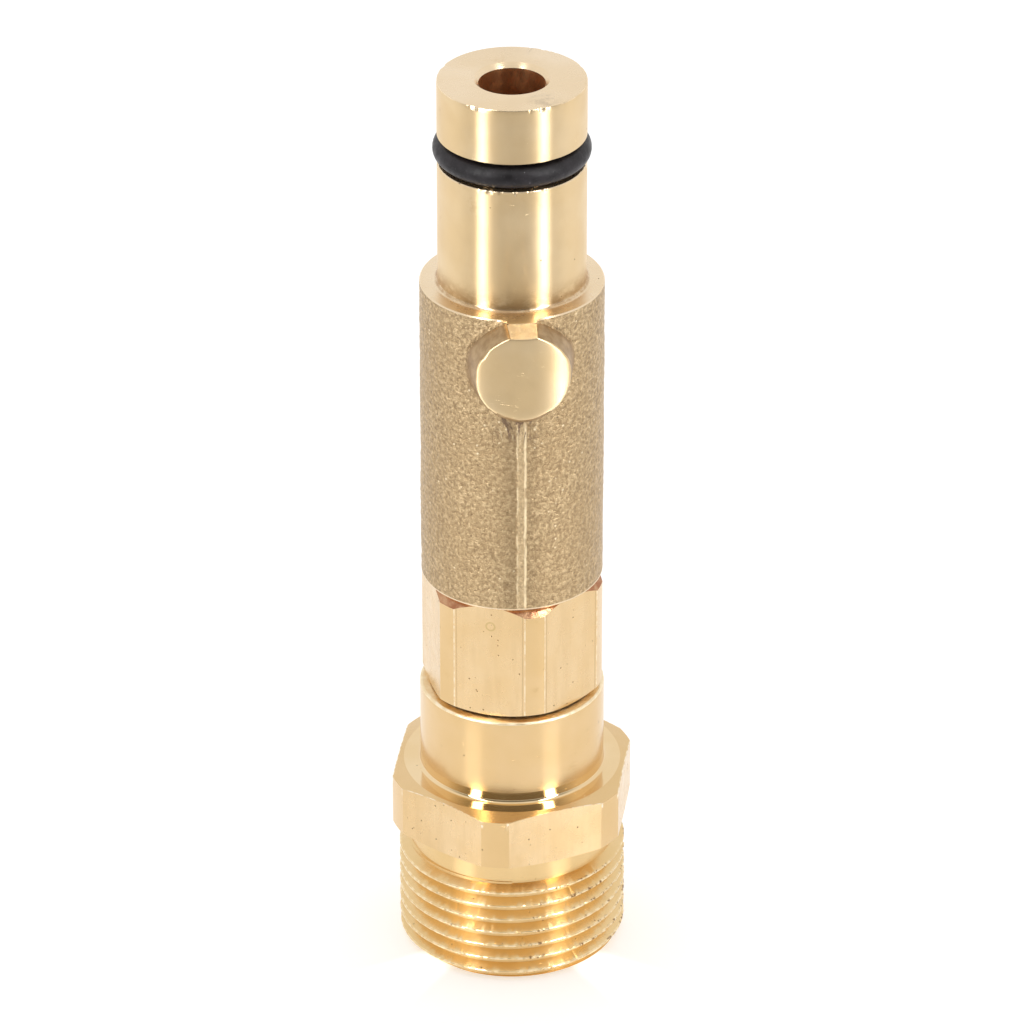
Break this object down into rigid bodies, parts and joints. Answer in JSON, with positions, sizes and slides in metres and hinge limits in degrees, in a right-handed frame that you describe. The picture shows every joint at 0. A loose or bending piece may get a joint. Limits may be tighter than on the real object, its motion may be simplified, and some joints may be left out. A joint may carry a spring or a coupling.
{
  "type": "pressure relief valve",
  "caption": "In-line brass pressure relief valve: swivelling M22x1.5 male inlet, hex nipple, cast body with bayonet lugs, and an O-ringed plug-in outlet spigot.",
  "frame": {"origin": "centre of the inlet end face, which is also the face it stands on", "axes": "+Z along the flow axis from the M22 inlet to the outlet spigot; the two bayonet lugs point along -Y and +Y; +X completes the right-handed frame"},
  "size_m": [0.0236, 0.0238, 0.0916],
  "materials": {
    "cast_brass": "rough sand-cast barrel with a turned spigot, shoulder and lug faces",
    "turned_brass": "bright turned and milled",
    "seal_rubber": "satin black moulded rubber",
    "ptfe": "matt off-white",
    "nylon": "satin",
    "stainless": "satin turned",
    "spring_steel": "drawn wire"
  },
  "bodies": {
    "valve_body": {"valve_body": "cast_brass", "spigot_o_ring": "seal_rubber", "hex_nipple": "turned_brass", "nipple_seal_ring": "seal_rubber", "valve_seat": "stainless", "seat_seal_ring": "seal_rubber", "swivel_dust_ring": "seal_rubber", "swivel_pressure_ring": "seal_rubber", "swivel_backup_ring": "ptfe", "swivel_retaining_ring": "spring_steel", "swivel_thrust_washer": "stainless", "relief_spring": "spring_steel"},
    "inlet_union": {"inlet_union": "turned_brass"},
    "ball": {"valve_ball": "stainless", "ball_carrier": "stainless"},
    "spring_washer": {"spring_top_washer": "stainless"},
    "adjuster": {"adjusting_screw": "turned_brass", "adjuster_friction_ring": "nylon"}
  },
  "joints": [
    {"name": "union_swivel", "type": "hinge", "parent": "valve_body", "child": "inlet_union", "pos_m": [0, 0, 0.0212], "axis": [0, 0, 1], "continuous": true},
    {"name": "ball_lift", "type": "slide", "parent": "valve_body", "child": "ball", "axis": [0, 0, 1], "range_m": [0, 0.0015], "stiffness_N_per_m": 20000, "springref_m": -0.002, "deforming": ["relief_spring"]},
    {"name": "adjuster_travel", "type": "slide", "parent": "valve_body", "child": "spring_washer", "axis": [0, 0, 1], "range_m": [-0.001, 0.001], "deforming": ["relief_spring"]},
    {"name": "adjuster_turn", "type": "hinge", "parent": "spring_washer", "child": "adjuster", "pos_m": [0, 0, 0.0667], "axis": [0, 0, 1], "range_deg": [-361, 361]}
  ],
  "couplings": [
    {"joint": "adjuster_turn", "follows": "adjuster_travel", "rad_per_m": 6283.2}
  ]
}
